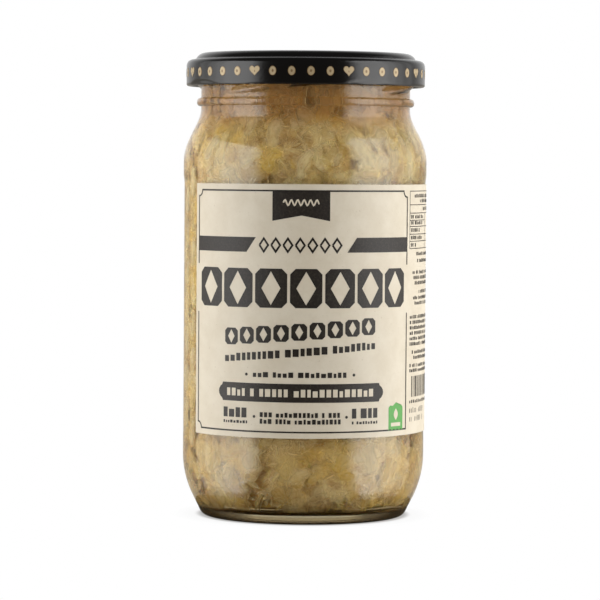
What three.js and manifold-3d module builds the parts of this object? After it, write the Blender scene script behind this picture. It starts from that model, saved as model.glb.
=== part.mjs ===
// A glass jar of shredded cabbage, closed by a pressed metal twist cap and wrapped by a paper label.
// Millimetres, +Z up. The origin is the middle of the base, and the front of the label faces -Y.
import * as THREE from "three";
import { mergeVertices } from "three/addons/utils/BufferGeometryUtils.js";
import Module from "manifold-3d";

const wasm = await Module();
wasm.setup();

// Driving sizes of the glass
const BODY_R = 34; // the label panel, a little inside the two bulges
const SHOULDER_R = 34.25;
const SHOULDER_Z = 99.5;
const SHOULDER_EASE = 6.6; // how far the wall runs straight on before it turns in
const NECK_EASE = 4.4;
const FOOT_R = 34.05;
const FOOT_Z = 17.5;
const FOOT_EASE = 7;
const PANEL_LOW_Z = 24;
const PANEL_HIGH_Z = 93.5;
const HEEL_R = 29.7;
const HEEL_Z = 2.4;
const HEEL_EASE = [1.9, 3.6];
const HEEL_CORNER = 0.9;
const BEARING_OUT_R = 27.6; // the flat ring that the jar stands on
const BEARING_IN_R = 24.4;
const PUNT_RISE = 2;
const PUNT_SHARE = 0.8;
const NECK_R = 29.45;
const NECK_LOW_Z = 114.4;
const BEAD_R = 30.65; // the ring that the jar is carried by in the glass works
const BEAD_Z = 116.7;
const BEAD_HALF = 1.35;
const RIM_Z = 129;
const RIM_R = 28.6;
const RIM_ROUND = 0.9;
const FINISH_STEP = 3; // the neck narrows to the rim over this height
const WALL = 2.3;
const SHOULDER_WALL = 2.5;
const MOUTH_R = 26.7;
const MOUTH_DEPTH = 13.1;
const FLOOR_Z = 3.4;
const FLOOR_CROWN = 0.7;
const GLASS_SEGMENTS = 48;
const CURVE_STEPS = 3;

// Thread ridges: four starts, each a long low ridge that climbs to the right
const THREAD_STARTS = 4;
const THREAD_FIRST_DEG = -10;
const THREAD_HALF_SPAN_DEG = 36;
const THREAD_MID_Z = 121.7;
const THREAD_HALF_CLIMB = 2.2;
const THREAD_HALF_WIDTH = 0.95;
const THREAD_PROUD = 1.2;
const THREAD_SIDES = [16, 6];

// Cap
const CAP_R = 33.6;
const CAP_TOP_Z = 130.1;
const CAP_LOW_Z = 120.75;
const CAP_SHOULDER_Z = 128.25;
const CAP_CORNER = 2;
const STEP_R = 30.9;
const STEP_ROUND = 0.7;
const RING_OUT_R = 28.4; // the flat ring over the rim of the glass
const RING_IN_R = 25.2;
const RING_SLOPE = 1.9;
const PANEL_SUNK = 1.1;
const BUTTON_R = 12;
const BUTTON_SLOPE = 1;
const BUTTON_RISE = 0.4;
const SHEET = 0.6; // tinplate with its sealing layer
const CURL_R = 0.62;
const CAP_SEGMENTS = 48;
const CAP_CURVE_STEPS = 2;
const LUGS = 4;
const LUG_FIRST_DEG = -59;
const LUG_HALF_DEG = 13;
const LUG_FLAT_SHARE = 0.45;
const LUG_PRESS = 0.75;

// Label
const LABEL_LOW_Z = 24.3;
const LABEL_HIGH_Z = 93.6;
const LABEL_START_DEG = -60.5;
const LABEL_SPAN_DEG = 282;
const LABEL_GAP = 0.12;
const LABEL_THICK = 0.16;
const LABEL_STEPS = 40;

// Cabbage: a packed core with strips laid round it against the glass
const FILL_LOW_Z = FLOOR_Z + FLOOR_CROWN + 0.5;
const FILL_HIGH_Z = 119;
const CORE_INSET = 1.75;
const CORE_CORNER = 1.2;
const CORE_DOME_R = 18;
const CORE_BUMP = 0.35;
const CORE_SEGMENTS = 30;
const CORE_RINGS = 14;
const SHREDS = 82;
const SHRED_STEPS = 3;
const SHRED_LENGTH = [13, 27];
const SHRED_WIDTH = [1.9, 3.6];
const SHRED_THICK = 1;
const SHRED_INSET = 1.05;
const SHRED_MARGIN = 0.5;
const SHRED_SLOPE = 2.1; // radians, from the steepest one way to the steepest the other
const SHRED_BEND = 0.5;
const SHRED_WAVE = 0.22;
const SHRED_WAVES = 1.5;
const SEED = 20817;

const rad = THREE.MathUtils.degToRad;
const { lerp, smoothstep } = THREE.MathUtils;

// Angles run from the front of the label, which faces -Y, to the right.
function around(angle, r, z) {
  return new THREE.Vector3(r * Math.sin(angle), -r * Math.cos(angle), z);
}

function angleOf(point) {
  return Math.atan2(point.x, -point.y);
}

// A closed mesh as a solid that can be joined and cut.
function solidFrom(geometry) {
  const bare = geometry.index ? geometry.toNonIndexed() : geometry.clone();
  bare.deleteAttribute("normal");
  bare.deleteAttribute("uv");
  const merged = mergeVertices(bare, 1e-4);
  return new wasm.Manifold(
    new wasm.Mesh({
      numProp: 3,
      vertProperties: merged.attributes.position.array,
      triVerts: new Uint32Array(merged.index.array),
    }),
  );
}

function geometryFrom(solid) {
  const mesh = solid.getMesh();
  return new THREE.BufferGeometry()
    .setAttribute("position", new THREE.BufferAttribute(new Float32Array(mesh.vertProperties), 3))
    .setIndex(new THREE.BufferAttribute(new Uint32Array(mesh.triVerts), 1));
}

// Every vertex of a geometry goes through a function that returns its new place.
function reshape(geometry, place) {
  const position = geometry.attributes.position;
  const point = new THREE.Vector3();
  for (let i = 0; i < position.count; i++) {
    point.fromBufferAttribute(position, i);
    position.setXYZ(i, ...place(point).toArray());
  }
  return geometry;
}

// Turns a profile of radius and height round the Z axis.
function turned(points, segments) {
  return new THREE.LatheGeometry(points, segments).rotateX(Math.PI / 2);
}

// The mould line of the outside of the glass, from the middle of the underside up to the rim.
function glassOutside() {
  return new THREE.Path()
    .moveTo(0, PUNT_RISE)
    .quadraticCurveTo(BEARING_IN_R * PUNT_SHARE, PUNT_RISE, BEARING_IN_R, 0)
    .lineTo(BEARING_OUT_R, 0)
    .quadraticCurveTo(HEEL_R - HEEL_CORNER, 0, HEEL_R, HEEL_Z)
    .bezierCurveTo(HEEL_R + HEEL_EASE[0], HEEL_Z + HEEL_EASE[1], FOOT_R, FOOT_Z - FOOT_EASE, FOOT_R, FOOT_Z)
    .lineTo(BODY_R, PANEL_LOW_Z)
    .lineTo(BODY_R, PANEL_HIGH_Z)
    .lineTo(SHOULDER_R, SHOULDER_Z)
    .bezierCurveTo(SHOULDER_R, SHOULDER_Z + SHOULDER_EASE, NECK_R, NECK_LOW_Z - NECK_EASE, NECK_R, NECK_LOW_Z)
    .lineTo(NECK_R, BEAD_Z - BEAD_HALF)
    .quadraticCurveTo(BEAD_R, BEAD_Z - BEAD_HALF, BEAD_R, BEAD_Z)
    .quadraticCurveTo(BEAD_R, BEAD_Z + BEAD_HALF, NECK_R, BEAD_Z + BEAD_HALF)
    .lineTo(NECK_R, RIM_Z - FINISH_STEP)
    .lineTo(RIM_R, RIM_Z - FINISH_STEP + 1)
    .lineTo(RIM_R, RIM_Z - RIM_ROUND)
    .quadraticCurveTo(RIM_R, RIM_Z, RIM_R - RIM_ROUND, RIM_Z)
    .quadraticCurveTo(MOUTH_R, RIM_Z, MOUTH_R, RIM_Z - RIM_ROUND);
}

// The inside of the glass, from the mouth down to the middle of the floor.
function glassInside(path) {
  const shoulder = SHOULDER_R - SHOULDER_WALL;
  const body = BODY_R - WALL;
  const heel = HEEL_R - RIM_ROUND;
  const neckZ = RIM_Z - MOUTH_DEPTH;
  return path
    .lineTo(MOUTH_R, neckZ)
    .bezierCurveTo(MOUTH_R, neckZ - SHOULDER_EASE, shoulder, SHOULDER_Z + NECK_EASE, shoulder, SHOULDER_Z - 1)
    .lineTo(body, PANEL_HIGH_Z)
    .lineTo(body, FOOT_Z)
    .bezierCurveTo(body, FOOT_Z - FOOT_EASE, heel, FLOOR_Z, BEARING_IN_R, FLOOR_Z)
    .quadraticCurveTo(BEARING_IN_R / 2, FLOOR_Z + FLOOR_CROWN, 0, FLOOR_Z + FLOOR_CROWN);
}

// A thread ridge is a ball drawn out along the neck, with its ends faded into it.
function threadRidge(start) {
  const middle = rad(THREAD_FIRST_DEG + (360 / THREAD_STARTS) * start);
  const ball = new THREE.SphereGeometry(1, ...THREAD_SIDES);
  return reshape(ball, ({ x, y, z }) =>
    around(
      middle + x * rad(THREAD_HALF_SPAN_DEG),
      NECK_R + z * THREAD_PROUD,
      THREAD_MID_Z + x * THREAD_HALF_CLIMB + y * THREAD_HALF_WIDTH,
    ),
  );
}

function glassJar() {
  const profile = glassInside(glassOutside()).getPoints(CURVE_STEPS);
  let jar = solidFrom(turned(profile, GLASS_SEGMENTS));
  for (let start = 0; start < THREAD_STARTS; start++) jar = jar.add(solidFrom(threadRidge(start)));
  return geometryFrom(jar);
}

// How far a lug presses the curled edge inwards: 1 at the middle of a lug, 0 between lugs.
function lugShare(angle) {
  const pitch = (2 * Math.PI) / LUGS;
  const fromFirst = THREE.MathUtils.euclideanModulo(angle - rad(LUG_FIRST_DEG) + pitch / 2, pitch);
  const half = rad(LUG_HALF_DEG);
  return 1 - smoothstep(Math.abs(fromFirst - pitch / 2), half * LUG_FLAT_SHARE, half);
}

// The cap is one pressed sheet: button, sunk panel, ring over the rim, shoulder, skirt and curled edge.
function cap() {
  const panelZ = CAP_TOP_Z - PANEL_SUNK;
  const buttonZ = panelZ + BUTTON_RISE;
  const cornerZ = CAP_SHOULDER_Z - CAP_CORNER;
  const curlTopZ = CAP_LOW_Z + 3 * CURL_R;
  const inR = CAP_R - SHEET;
  const outline = new THREE.Path()
    .moveTo(0, buttonZ)
    .lineTo(BUTTON_R - BUTTON_SLOPE, buttonZ)
    .lineTo(BUTTON_R, panelZ)
    .lineTo(RING_IN_R - RING_SLOPE, panelZ)
    .quadraticCurveTo(RING_IN_R - STEP_ROUND, CAP_TOP_Z, RING_IN_R, CAP_TOP_Z)
    .lineTo(RING_OUT_R, CAP_TOP_Z)
    .quadraticCurveTo(STEP_R - STEP_ROUND, CAP_TOP_Z, STEP_R, CAP_SHOULDER_Z)
    .bezierCurveTo(STEP_R + CAP_CORNER, CAP_SHOULDER_Z, CAP_R, CAP_SHOULDER_Z, CAP_R, cornerZ)
    .lineTo(CAP_R, curlTopZ)
    .lineTo(CAP_R, CAP_LOW_Z + CURL_R)
    .quadraticCurveTo(CAP_R, CAP_LOW_Z, CAP_R - CURL_R, CAP_LOW_Z)
    .quadraticCurveTo(CAP_R - 2 * CURL_R, CAP_LOW_Z, CAP_R - 2 * CURL_R, CAP_LOW_Z + CURL_R)
    .lineTo(inR, curlTopZ)
    .lineTo(inR, cornerZ)
    .lineTo(STEP_R + SHEET, CAP_SHOULDER_Z - SHEET)
    .lineTo(STEP_R - SHEET, CAP_SHOULDER_Z - SHEET)
    .lineTo(RING_OUT_R + SHEET, CAP_TOP_Z - SHEET)
    .lineTo(RING_IN_R, CAP_TOP_Z - SHEET)
    .lineTo(RING_IN_R - RING_SLOPE + SHEET, panelZ - SHEET)
    .lineTo(BUTTON_R, panelZ - SHEET)
    .lineTo(BUTTON_R - BUTTON_SLOPE, buttonZ - SHEET)
    .lineTo(0, buttonZ - SHEET);
  const shell = turned(outline.getPoints(CAP_CURVE_STEPS).reverse(), CAP_SEGMENTS);
  return reshape(shell, (point) => {
    const r = Math.hypot(point.x, point.y);
    if (r < STEP_R) return point.clone();
    const depth = 1 - smoothstep(point.z, CAP_LOW_Z + CURL_R, curlTopZ);
    const angle = angleOf(point);
    return around(angle, r - LUG_PRESS * depth * lugShare(angle), point.z);
  });
}

// The label is a strip of an annulus drawn up to its height.
function label() {
  const inner = BODY_R + LABEL_GAP;
  const start = rad(LABEL_START_DEG - 90);
  const end = start + rad(LABEL_SPAN_DEG);
  const band = new THREE.Shape()
    .absarc(0, 0, inner + LABEL_THICK, start, end, false)
    .absarc(0, 0, inner, end, start, true);
  const strip = new THREE.ExtrudeGeometry(band, {
    depth: LABEL_HIGH_Z - LABEL_LOW_Z,
    bevelEnabled: false,
    curveSegments: LABEL_STEPS,
  });
  return strip.translate(0, 0, LABEL_LOW_Z);
}

// The inside of the glass as the flats of its facets leave it.
const facetShare = Math.cos(Math.PI / GLASS_SEGMENTS);
const boreLine = glassInside(new THREE.Path().moveTo(MOUTH_R, RIM_Z)).getPoints(CURVE_STEPS);

// The radius of the inside of the glass at a height.
function bore(z) {
  const lower = boreLine.findIndex((point) => point.y < z);
  const [above, below] = [boreLine[lower - 1], boreLine[lower]];
  return facetShare * THREE.MathUtils.mapLinear(z, below.y, above.y, below.x, above.x);
}

function seededRandom(seed) {
  let state = seed;
  return () => {
    state = (state * 1664525 + 1013904223) % 4294967296;
    return state / 4294967296;
  };
}

// The packed core, uneven all over, a little inside the glass, with a low dome on top.
function cabbageCore() {
  const sideLowZ = FILL_LOW_Z + CORE_CORNER;
  const sideHighZ = FILL_HIGH_Z - 2 * CORE_CORNER;
  const rows = [new THREE.Vector2(0, FILL_LOW_Z), new THREE.Vector2(CORE_DOME_R, FILL_LOW_Z)];
  for (let ring = 0; ring <= CORE_RINGS; ring++) {
    const z = lerp(sideLowZ, sideHighZ, ring / CORE_RINGS);
    rows.push(new THREE.Vector2(bore(z) - CORE_INSET, z));
  }
  rows.push(new THREE.Vector2(CORE_DOME_R, FILL_HIGH_Z), new THREE.Vector2(0, FILL_HIGH_Z));
  return reshape(turned(rows, CORE_SEGMENTS), (point) => {
    const r = Math.hypot(point.x, point.y);
    if (r < SHRED_THICK) return point.clone();
    const angle = angleOf(point);
    const bump = CORE_BUMP * Math.sin(5 * angle + point.z / 6) * Math.sin(3 * angle - point.z / 4);
    return around(angle, r + bump, point.z > sideHighZ ? point.z + 3 * bump : point.z);
  });
}

// One shred: a thin wavy strip that lies against the glass and is sunk in the core behind it.
function shred(random, share) {
  const between = ([low, high]) => lerp(low, high, random());
  const length = between(SHRED_LENGTH);
  const width = between(SHRED_WIDTH);
  const slope = (random() - 0.5) * SHRED_SLOPE;
  const bend = (random() - 0.5) * SHRED_BEND;
  const phase = random() * 2 * Math.PI;
  const reach = (length / 2) * Math.abs(Math.sin(slope)) + width + SHRED_MARGIN;
  const wanted = lerp(FILL_LOW_Z, FILL_HIGH_Z, share);
  const middleZ = THREE.MathUtils.clamp(wanted, FILL_LOW_Z + 1 + reach, FILL_HIGH_Z - reach);
  const goldenAngle = Math.PI * (3 - Math.sqrt(5));
  const middleAngle = Math.round(share * SHREDS) * goldenAngle;
  const strip = new THREE.BoxGeometry(length, width, SHRED_THICK, SHRED_STEPS, 1, 1);
  return reshape(strip, ({ x, y, z: out }) => {
    const turn = slope + (bend * x) / length;
    const along = x * Math.cos(turn) - y * Math.sin(turn);
    const z = middleZ + x * Math.sin(turn) + y * Math.cos(turn);
    const lie = bore(z) - SHRED_INSET;
    const wave = SHRED_WAVE * Math.sin((2 * Math.PI * SHRED_WAVES * x) / length + phase);
    return around(middleAngle + along / lie, lie + out + wave, z);
  });
}

// The shreds are fused to the core, and a scrap that touches nothing is dropped.
function sauerkraut() {
  const random = seededRandom(SEED);
  const pieces = [solidFrom(cabbageCore())];
  for (let i = 0; i < SHREDS; i++) pieces.push(solidFrom(shred(random, (i + 0.5) / SHREDS)));
  const bodies = wasm.Manifold.union(pieces).decompose();
  return geometryFrom(bodies.sort((a, b) => b.volume() - a.volume())[0]);
}

function finish(color, roughness, metalness) {
  return new THREE.MeshStandardMaterial({ color, roughness, metalness });
}

const materials = {
  glass: finish(0xdfe4dc, 0.04, 0),
  cap: finish(0x14120f, 0.28, 0.4),
  paper: finish(0xe2d8c6, 0.75, 0),
  cabbage: finish(0xc3a86a, 0.45, 0),
};
materials.glass.transparent = true;
materials.glass.opacity = 0.35;

const jar = new THREE.Group();

function addPiece(name, geometry, material) {
  const mesh = new THREE.Mesh(geometry, material);
  mesh.name = name;
  jar.add(mesh);
}

addPiece("glass_jar", glassJar(), materials.glass);
addPiece("cap", cap(), materials.cap);
addPiece("label", label(), materials.paper);
addPiece("sauerkraut", sauerkraut(), materials.cabbage);

export default jar;
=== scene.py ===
import bisect
import math
import random
from collections import namedtuple

import bmesh
import bpy
from mathutils import Matrix, Vector, noise
from mathutils.geometry import interpolate_bezier


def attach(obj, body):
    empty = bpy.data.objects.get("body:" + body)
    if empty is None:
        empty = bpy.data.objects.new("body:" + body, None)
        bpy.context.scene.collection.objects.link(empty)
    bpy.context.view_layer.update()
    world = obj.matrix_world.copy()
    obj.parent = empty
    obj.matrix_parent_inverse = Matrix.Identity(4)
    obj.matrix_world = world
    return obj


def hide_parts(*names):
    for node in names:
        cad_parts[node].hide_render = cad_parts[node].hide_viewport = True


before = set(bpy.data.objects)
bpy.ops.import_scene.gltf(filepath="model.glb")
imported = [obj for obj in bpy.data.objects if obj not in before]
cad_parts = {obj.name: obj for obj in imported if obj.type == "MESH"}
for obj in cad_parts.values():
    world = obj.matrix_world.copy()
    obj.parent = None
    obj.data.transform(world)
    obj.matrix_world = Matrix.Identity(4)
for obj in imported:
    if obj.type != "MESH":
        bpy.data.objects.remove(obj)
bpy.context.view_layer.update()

MM = 0.001

# The camera stands a little above the height of the label's upper edge and looks slightly down. It is turned
# a hair about its own line of sight, because the jar leans a little in the photograph.
CAMERA_AWAY = 867
CAMERA_HIGH = 100
CAMERA_AIM_HIGH = 60.6
CAMERA_ASIDE = -1.17
CAMERA_ROLL = math.radians(0.42)
LENS = 184


def put(name, data):
    """A new object in the scene."""
    made = bpy.data.objects.new(name, data)
    bpy.context.scene.collection.objects.link(made)
    return made


def looking(place, aim):
    """The matrix of a camera or lamp that stands at one place and points at another."""
    return Matrix.Translation(place) @ (aim - place).to_track_quat("-Z", "Y").to_matrix().to_4x4()


camera_data = bpy.data.cameras.new("camera")
camera_data.sensor_width = 36
camera_data.lens = LENS
camera = put("camera", camera_data)
camera_place = Vector((CAMERA_ASIDE, -CAMERA_AWAY, CAMERA_HIGH)) * MM
camera_aim = Vector((CAMERA_ASIDE, 0, CAMERA_AIM_HIGH)) * MM
camera.matrix_world = looking(camera_place, camera_aim) @ Matrix.Rotation(CAMERA_ROLL, 4, "Z")
bpy.context.scene.camera = camera

# The jar is blown soda-lime glass with a wall of a little over two millimetres. One mould forms the
# pushed-up base, the heel, the label panel, the shoulder, the carrying ring and the four thread ridges.
BODY_R = 34
SHOULDER_R = 34.25
SHOULDER_Z = 99.5
SHOULDER_EASE = 6.6
NECK_EASE = 4.4
FOOT_R = 34.05
FOOT_Z = 17.5
FOOT_EASE = 7
PANEL_LOW_Z = 24
PANEL_HIGH_Z = 93.5
HEEL_R = 29.7
HEEL_Z = 2.4
BEARING_OUT_R = 27.6
BEARING_IN_R = 24.4
PUNT_RISE = 2
NECK_R = 29.45
NECK_LOW_Z = 114.4
BEAD_R = 30.65
BEAD_Z = 116.3
BEAD_HALF = 1.2
RIM_Z = 129
RIM_R = 28.6
RIM_ROUND = 0.9
WALL = 2.3
SHOULDER_WALL = 2.5
MOUTH_R = 26.7
MOUTH_DEPTH = 13.1
FLOOR_Z = 3.4
CROWN_Z = FLOOR_Z + 0.7
TURN_STEPS = 144
WANDER_MOST = 0.16
WANDER_WAVES = 70
WANDER_FROM_R = 20
WANDER_HIGH_Z = 112
WET_HIGH_Z = 123.4
NECK_WET_FROM_Z = 109
NECK_WET = 0.75

THREADS = 4
THREAD_FIRST = math.radians(-10)
THREAD_HALF_SPAN = math.radians(36)
THREAD_MID_Z = 120.9
THREAD_HALF_CLIMB = 2.1
THREAD_HALF_WIDTH = 1.2
THREAD_PROUD = 1.05


def line(*points):
    """Points of a profile, each a radius and a height in millimetres."""
    return [Vector((r, 0, z)) * MM for r, z in points]


def bend(start, start_lean, end_lean, end, steps=14):
    """A smooth stretch of a profile between two points, each with the point that it leans towards."""
    return interpolate_bezier(*line(start, start_lean, end_lean, end), steps)


def corner(start, peak, end, steps=6):
    """A rounded corner of a profile."""
    towards = [tuple(a + (b - a) * 2 / 3 for a, b in zip(side, peak)) for side in (start, end)]
    return bend(start, *towards, end, steps)


def turned(profile, steps=TURN_STEPS):
    """A profile turned once round the jar's axis."""
    shape = bmesh.new()
    points = [shape.verts.new(point) for point in profile]
    edges = [shape.edges.new(pair) for pair in zip(points, points[1:])]
    bmesh.ops.spin(
        shape, geom=points + edges, cent=(0, 0, 0), axis=(0, 0, 1), dvec=(0, 0, 0),
        angle=math.tau, steps=steps, use_merge=True,
    )
    bmesh.ops.remove_doubles(shape, verts=shape.verts, dist=0.002 * MM)
    bmesh.ops.recalc_face_normals(shape, faces=shape.faces)
    return shape


def angle_of(point):
    """The angle round the jar from the front of the label, which faces -Y, to the right."""
    return math.atan2(point.x, -point.y)


def around(angle, r, z):
    return Vector((r * math.sin(angle), -r * math.cos(angle), z))


def piece(name, shape, finish, slot, *nodes, sharp=40):
    """A finished shape as an object that rides on the jar and stands for its solid."""
    data = bpy.data.meshes.new(name)
    shape.to_mesh(data)
    shape.free()
    data.shade_smooth()
    data.set_sharp_from_angle(angle=math.radians(sharp))
    data.materials.append(finish.material)
    made = put(name, data)
    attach(made, "root")
    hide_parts(*nodes)


class Field:
    """A value that varies over a surface. Arithmetic on it adds Math nodes."""

    def __init__(self, tree, socket):
        self.tree = tree
        self.socket = socket

    def math(self, operation, *values):
        return self.tree.node("ShaderNodeMath", {"operation": operation}, dict(enumerate(values)))

    def __add__(self, other):
        return self.math("ADD", self, other)

    def __radd__(self, other):
        return self.math("ADD", other, self)

    def __sub__(self, other):
        return self.math("SUBTRACT", self, other)

    def __rsub__(self, other):
        return self.math("SUBTRACT", other, self)

    def __mul__(self, other):
        return self.math("MULTIPLY", self, other)

    def size(self):
        return self.math("ABSOLUTE", self)

    def part(self, axis):
        """The X, Y or Z part of a vector."""
        return self.tree.node("ShaderNodeSeparateXYZ", {}, {0: self}, axis)

    def between(self, low, high, low_value=0.0, high_value=1.0):
        """One value below low, another above high, and smooth between them."""
        sockets = {
            "Value": self, "From Min": low, "From Max": high, "To Min": low_value, "To Max": high_value,
        }
        return self.tree.node("ShaderNodeMapRange", {"interpolation_type": "SMOOTHSTEP"}, sockets)


class Tree:
    """The shader nodes of a material or of the surround."""

    def __init__(self, owner, output):
        owner.use_nodes = True
        self.nodes = owner.node_tree.nodes
        self.links = owner.node_tree.links
        self.nodes.clear()
        self.output = self.nodes.new(output)

    def node(self, kind, settings, sockets, out=0):
        made = self.nodes.new(kind)
        for name, value in settings.items():
            setattr(made, name, value)
        for name, value in sockets.items():
            self.feed(made.inputs[name], value)
        return Field(self, made.outputs[out])

    def feed(self, socket, value):
        if isinstance(value, Field):
            self.links.new(value.socket, socket)
        else:
            socket.default_value = value

    def surface(self, shader):
        self.feed(self.output.inputs["Surface"], shader)

    def layered(self, share, low, high):
        """One shader where a share is 0 and another where it is 1."""
        return self.node("ShaderNodeMixShader", {}, {0: share, 1: low, 2: high})


class Finish(Tree):
    """A material with one Principled shader, to which any other node is added."""

    def __init__(self, name, constants):
        self.material = bpy.data.materials.new(name)
        super().__init__(self.material, "ShaderNodeOutputMaterial")
        self.shader = self.node("ShaderNodeBsdfPrincipled", {}, constants)
        self.surface(self.shader)

    def shade(self, **sockets):
        """Feeds sockets of the Principled shader: base_color=... feeds Base Color."""
        for name, value in sockets.items():
            self.feed(self.shader.socket.node.inputs[name.replace("_", " ").title()], value)

    def place(self):
        return self.node("ShaderNodeTexCoord", {}, {}, "Object")

    def stretched(self, vector, scale):
        return self.node("ShaderNodeMapping", {}, {"Vector": vector, "Scale": scale})

    def grain(self, vector, scale, detail=2.0, roughness=0.5):
        """Smooth noise from 0 to 1, with scale in waves to the metre."""
        sockets = {"Vector": vector, "Scale": scale, "Detail": detail, "Roughness": roughness}
        return self.node("ShaderNodeTexNoise", {}, sockets)

    def blend(self, share, low, high):
        """One colour mixed into another by a share from 0 to 1."""
        sockets = {"Factor": share, 6: low, 7: high}
        return self.node("ShaderNodeMix", {"data_type": "RGBA"}, sockets, 2)

    def bump(self, height, distance, strength=1.0):
        self.shade(normal=self.node("ShaderNodeBump", {}, {
            "Height": height, "Distance": distance, "Strength": strength,
        }))


def clear_sockets(tint, ior, mirror):
    """What a clear body needs. Where clear bodies touch, the mirror tint is black: hardly anything shines."""
    return {
        "Base Color": tint, "Roughness": 0.0, "IOR": ior, "Transmission Weight": 1.0,
        "Specular Tint": (mirror, mirror, mirror, 1),
    }


def let_light_in(finish, body, tint):
    """Lets the light of the lamps through a clear body to what is inside."""
    lamp_light = finish.node("ShaderNodeLightPath", {}, {}, "Is Shadow Ray")
    let_through = finish.node("ShaderNodeBsdfTransparent", {}, {"Color": tint})
    finish.surface(finish.layered(lamp_light, body, let_through))


def thread_height(angle, z):
    """How far the thread ridges stand out of the neck at an angle and a height."""
    best = 0
    for start in range(THREADS):
        middle = THREAD_FIRST + start * math.tau / THREADS
        along = ((angle - middle + math.pi) % math.tau - math.pi) / THREAD_HALF_SPAN
        if abs(along) < 1:
            across = (z - THREAD_MID_Z - along * THREAD_HALF_CLIMB) / THREAD_HALF_WIDTH
            best = max(best, 1 - along ** 4 - across ** 2)
    return THREAD_PROUD * best


bore_line = (
    line((MOUTH_R, RIM_Z - 2))
    + bend(
        (MOUTH_R, RIM_Z - MOUTH_DEPTH), (MOUTH_R, RIM_Z - MOUTH_DEPTH - SHOULDER_EASE),
        (SHOULDER_R - SHOULDER_WALL, SHOULDER_Z + NECK_EASE), (SHOULDER_R - SHOULDER_WALL, SHOULDER_Z - 1),
    )
    + line((BODY_R - WALL, PANEL_HIGH_Z), (BODY_R - WALL, 60), (BODY_R - WALL, PANEL_LOW_Z))
    + bend(
        (BODY_R - WALL, FOOT_Z), (BODY_R - WALL, FOOT_Z - FOOT_EASE),
        (HEEL_R - RIM_ROUND, FLOOR_Z), (BEARING_IN_R, FLOOR_Z),
    )
    + corner((BEARING_IN_R - 1, FLOOR_Z), (BEARING_IN_R / 2, CROWN_Z), (0, CROWN_Z))
)
thread_rows = line(*((NECK_R, BEAD_Z + BEAD_HALF + 0.4 + 0.33 * row) for row in range(24)))
glass_outside = (
    corner((0, PUNT_RISE), (BEARING_IN_R * 0.8, PUNT_RISE), (BEARING_IN_R, 0.15), 12)
    + corner((BEARING_IN_R, 0.15), (BEARING_IN_R + 0.2, 0), (BEARING_IN_R + 0.7, 0), 4)
    + corner((BEARING_OUT_R, 0), (HEEL_R - 0.9, 0), (HEEL_R, HEEL_Z), 10)
    + bend((HEEL_R, HEEL_Z), (HEEL_R + 1.9, HEEL_Z + 3.6), (FOOT_R, FOOT_Z - FOOT_EASE), (FOOT_R, FOOT_Z))
    + bend(
        (FOOT_R, PANEL_LOW_Z - 3), (FOOT_R, PANEL_LOW_Z - 1),
        (BODY_R, PANEL_LOW_Z - 1), (BODY_R, PANEL_LOW_Z), 5,
    )
    + bend(
        (BODY_R, PANEL_HIGH_Z), (BODY_R, PANEL_HIGH_Z + 1.5),
        (SHOULDER_R, PANEL_HIGH_Z + 1.5), (SHOULDER_R, PANEL_HIGH_Z + 3), 6,
    )
    + bend(
        (SHOULDER_R, SHOULDER_Z), (SHOULDER_R, SHOULDER_Z + SHOULDER_EASE),
        (NECK_R, NECK_LOW_Z - NECK_EASE), (NECK_R, NECK_LOW_Z), 20,
    )
    + corner((NECK_R, BEAD_Z - BEAD_HALF), (BEAD_R, BEAD_Z - BEAD_HALF), (BEAD_R, BEAD_Z))
    + corner((BEAD_R, BEAD_Z), (BEAD_R, BEAD_Z + BEAD_HALF), (NECK_R, BEAD_Z + BEAD_HALF))
    + thread_rows
    + corner((NECK_R, RIM_Z - 2.8), (RIM_R, RIM_Z - 2.6), (RIM_R, RIM_Z - 2))
    + corner((RIM_R, RIM_Z - RIM_ROUND), (RIM_R, RIM_Z), (RIM_R - RIM_ROUND, RIM_Z))
    + corner((MOUTH_R + RIM_ROUND, RIM_Z), (MOUTH_R, RIM_Z), (MOUTH_R, RIM_Z - RIM_ROUND))
)


def uneven(point):
    """Blown glass is a little thicker here and thinner there: its inside wanders by this much."""
    return WANDER_MOST * MM * noise.noise(Vector((point.x, point.y, point.z * 0.6)) * WANDER_WAVES)


def wander(shape, test):
    """Moves the points of a shape that pass a test in or out by the unevenness of the glass."""
    for vert in shape.verts:
        r = math.hypot(vert.co.x, vert.co.y)
        if r > WANDER_FROM_R * MM and test(r, vert.co.z):
            vert.co = around(angle_of(vert.co), r + uneven(vert.co), vert.co.z)


def is_bore(r, z):
    """Whether a point of the glass is on its inside below the neck."""
    return FLOOR_Z * MM < z < WANDER_HIGH_Z * MM and r < BODY_R * MM - 0.9 * WALL * MM


jar_shape = turned(glass_outside + bore_line)
for vert in jar_shape.verts:
    r = math.hypot(vert.co.x, vert.co.y)
    if r > (NECK_R - 0.05) * MM and vert.co.z > (BEAD_Z + BEAD_HALF) * MM:
        angle = angle_of(vert.co)
        vert.co = around(angle, r + thread_height(angle, vert.co.z / MM) * MM, vert.co.z)
wander(jar_shape, is_bore)
wet = jar_shape.verts.layers.float_color.new("wet")
for vert in jar_shape.verts:
    r = math.hypot(vert.co.x, vert.co.y)
    inside = r < (BODY_R - 1.3) * MM and vert.co.z < WANDER_HIGH_Z * MM or r < (MOUTH_R + 0.4) * MM
    share = 1 if inside and (FLOOR_Z - 0.2) * MM < vert.co.z < WET_HIGH_Z * MM else 0
    if vert.co.z > NECK_WET_FROM_Z * MM:
        share *= NECK_WET
    vert[wet] = (share, share, share, 1)

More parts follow.
